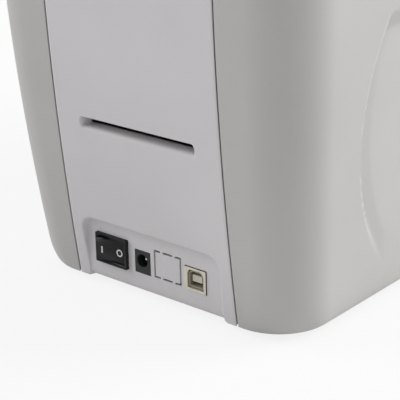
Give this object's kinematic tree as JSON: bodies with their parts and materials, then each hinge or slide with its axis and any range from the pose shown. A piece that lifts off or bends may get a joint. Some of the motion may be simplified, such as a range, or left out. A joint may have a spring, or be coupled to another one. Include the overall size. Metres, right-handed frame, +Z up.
{
  "type": "id card printer",
  "caption": "Desktop printer for plastic cards: hinged top cover, tilt-out feeder door, output tray in front, card slot and port recess at the rear.",
  "frame": {"origin": "on the floor, under the middle of the body", "axes": "+Z up, +Y towards the rear with the ports, -Y towards the front with the feeder; +X is the right-hand side seen from the front"},
  "size_m": [0.1772, 0.361, 0.2048],
  "materials": {
    "shell_grey": "satin moulded plastic",
    "panel_grey": "satin moulded plastic",
    "base_dark": "matt moulded plastic",
    "rubber": "matt",
    "steel": "bright zinc plated sheet and rods",
    "inner_grey": "matt moulded plastic",
    "roller_rubber": "ground rubber",
    "cleaner_blue": "tacky silicone",
    "bushing_white": "acetal",
    "motor_black": "black painted",
    "belt_black": "matt",
    "cassette_blue": "satin moulded plastic",
    "spool_white": "satin moulded plastic",
    "ribbon_magenta": "glossy film",
    "ribbon_dark": "glossy film",
    "aluminium": "extruded",
    "ceramic": "glazed ceramic",
    "key_grey": "satin moulded plastic",
    "display_dark": "glossy",
    "light_green": "translucent",
    "board_green": "solder mask",
    "component_black": "matt moulded plastic",
    "blade_green": "satin moulded plastic",
    "nickel": "nickel plated",
    "switch_black": "satin moulded plastic"
  },
  "bodies": {
    "chassis": {"base_tray": "base_dark", "left_side_cover": "shell_grey", "right_side_cover": "shell_grey", "rear_panel": "panel_grey", "front_fascia": "panel_grey", "rubber_feet": "rubber", "bottom_screws": "steel", "left_frame": "steel", "right_frame": "steel", "steel_rods": "steel", "shaft_bushings": "bushing_white", "card_guides": "inner_grey", "transport_motor": "motor_black", "drive_belts": "belt_black", "ribbon_cassette": "cassette_blue", "ribbon_film": "ribbon_magenta", "ribbon_motor": "motor_black", "hopper_tray": "inner_grey", "output_tray": "inner_grey", "display_window": "display_dark", "status_lights": "light_green", "circuit_boards": "board_green", "board_components": "component_black", "card_sensors": "component_black", "power_jack": "component_black", "data_port": "nickel", "switch_housing": "switch_black"},
    "top_cover": {"top_cover": "panel_grey", "head_bracket": "steel", "heat_sink": "aluminium", "print_head": "ceramic"},
    "latch": {"latch_hooks": "steel"},
    "release_button": {"release_button": "key_grey"},
    "feeder_door": {"feeder_door": "panel_grey"},
    "card_weight": {"card_weight": "key_grey"},
    "gate_blade": {"gate_blade": "blade_green"},
    "exit_diverter": {"exit_diverter": "inner_grey"},
    "pick": {"pick_roller": "roller_rubber", "pick_shaft": "steel"},
    "cleaning": {"cleaning_roller": "cleaner_blue"},
    "infeed": {"infeed_roller": "roller_rubber", "infeed_shaft": "steel"},
    "platen": {"platen_roller": "roller_rubber", "platen_shaft": "steel"},
    "outfeed": {"outfeed_roller": "roller_rubber", "outfeed_shaft": "steel"},
    "exit": {"exit_roller": "roller_rubber", "exit_shaft": "steel"},
    "infeed_pinch": {"infeed_pinch": "steel"},
    "outfeed_pinch": {"outfeed_pinch": "steel"},
    "exit_pinch": {"exit_pinch": "steel"},
    "motor_rotor": {"motor_pulley": "steel"},
    "supply": {"supply_spool": "spool_white", "supply_ribbon": "ribbon_magenta"},
    "takeup": {"takeup_spool": "spool_white", "takeup_ribbon": "ribbon_dark"},
    "rocker": {"switch_rocker": "switch_black"},
    "key_left": {"key_left": "key_grey"},
    "key_right": {"key_right": "key_grey"}
  },
  "joints": [
    {"name": "top_cover_hinge", "type": "hinge", "parent": "chassis", "child": "top_cover", "pos_m": [0, 0.128, 0.194], "axis": [-1, 0, 0], "range_deg": [0, 70]},
    {"name": "latch_turn", "type": "hinge", "parent": "top_cover", "child": "latch", "pos_m": [0, -0.07502, 0.16], "axis": [-1, 0, 0], "range_deg": [0, 14], "stiffness_Nm_per_rad": 0.05},
    {"name": "release_button_slide", "type": "slide", "parent": "top_cover", "child": "release_button", "axis": [0, 0, -1], "range_m": [0, 0.003]},
    {"name": "feeder_door_hinge", "type": "hinge", "parent": "chassis", "child": "feeder_door", "pos_m": [0, -0.16995, 0.098], "axis": [1, 0, 0], "range_deg": [0, 45]},
    {"name": "card_weight_slide", "type": "slide", "parent": "chassis", "child": "card_weight", "axis": [0, 0, 1], "range_m": [0, 0.074]},
    {"name": "gate_blade_slide", "type": "slide", "parent": "chassis", "child": "gate_blade", "axis": [0, 0, 1], "range_m": [0, 0.002]},
    {"name": "exit_diverter_hinge", "type": "hinge", "parent": "chassis", "child": "exit_diverter", "pos_m": [0, -0.0635, 0.0801], "axis": [1, 0, 0], "range_deg": [0, 20]},
    {"name": "platen_spin", "type": "hinge", "parent": "chassis", "child": "platen", "pos_m": [0, 0, 0.07702], "axis": [1, 0, 0], "continuous": true},
    {"name": "pick_spin", "type": "hinge", "parent": "chassis", "child": "pick", "pos_m": [0, -0.105, 0.07502], "axis": [1, 0, 0], "continuous": true},
    {"name": "cleaning_spin", "type": "hinge", "parent": "chassis", "child": "cleaning", "pos_m": [0, -0.072, 0.09178], "axis": [1, 0, 0], "continuous": true},
    {"name": "infeed_spin", "type": "hinge", "parent": "chassis", "child": "infeed", "pos_m": [0, -0.052, 0.07702], "axis": [1, 0, 0], "continuous": true},
    {"name": "outfeed_spin", "type": "hinge", "parent": "chassis", "child": "outfeed", "pos_m": [0, 0.052, 0.07702], "axis": [1, 0, 0], "continuous": true},
    {"name": "exit_spin", "type": "hinge", "parent": "chassis", "child": "exit", "pos_m": [0, 0.118, 0.07702], "axis": [1, 0, 0], "continuous": true},
    {"name": "infeed_pinch_spin", "type": "hinge", "parent": "chassis", "child": "infeed_pinch", "pos_m": [0, -0.052, 0.08978], "axis": [1, 0, 0], "continuous": true},
    {"name": "outfeed_pinch_spin", "type": "hinge", "parent": "chassis", "child": "outfeed_pinch", "pos_m": [0, 0.052, 0.08978], "axis": [1, 0, 0], "continuous": true},
    {"name": "exit_pinch_spin", "type": "hinge", "parent": "chassis", "child": "exit_pinch", "pos_m": [0, 0.118, 0.08978], "axis": [1, 0, 0], "continuous": true},
    {"name": "motor_spin", "type": "hinge", "parent": "chassis", "child": "motor_rotor", "pos_m": [0, 0.011, 0.043], "axis": [1, 0, 0], "continuous": true},
    {"name": "supply_spin", "type": "hinge", "parent": "chassis", "child": "supply", "pos_m": [0, 0.053, 0.118], "axis": [1, 0, 0], "continuous": true},
    {"name": "takeup_spin", "type": "hinge", "parent": "chassis", "child": "takeup", "pos_m": [0, -0.053, 0.118], "axis": [1, 0, 0], "continuous": true},
    {"name": "rocker_hinge", "type": "hinge", "parent": "chassis", "child": "rocker", "pos_m": [0.02485, 0.1669, 0.0201], "axis": [0, 0, -1], "range_deg": [0, 20]},
    {"name": "key_left_slide", "type": "slide", "parent": "chassis", "child": "key_left", "axis": [0, 0.9952, 0.0975], "range_m": [0, 0.001], "stiffness_N_per_m": 300},
    {"name": "key_right_slide", "type": "slide", "parent": "chassis", "child": "key_right", "axis": [0, 0.9952, 0.0975], "range_m": [0, 0.001], "stiffness_N_per_m": 300}
  ],
  "couplings": [
    {"joint": "release_button_slide", "follows": "latch_turn", "m_per_rad": 0.012278},
    {"joint": "takeup_spin", "follows": "supply_spin", "ratio": 1.4286},
    {"joint": "pick_spin", "follows": "platen_spin", "ratio": 1},
    {"joint": "infeed_spin", "follows": "platen_spin", "ratio": 1},
    {"joint": "outfeed_spin", "follows": "platen_spin", "ratio": 1},
    {"joint": "exit_spin", "follows": "platen_spin", "ratio": 1},
    {"joint": "motor_spin", "follows": "platen_spin", "ratio": 1},
    {"joint": "cleaning_spin", "follows": "platen_spin", "ratio": -1},
    {"joint": "infeed_pinch_spin", "follows": "platen_spin", "ratio": -1.4},
    {"joint": "outfeed_pinch_spin", "follows": "platen_spin", "ratio": -1.4},
    {"joint": "exit_pinch_spin", "follows": "platen_spin", "ratio": -1.4}
  ]
}
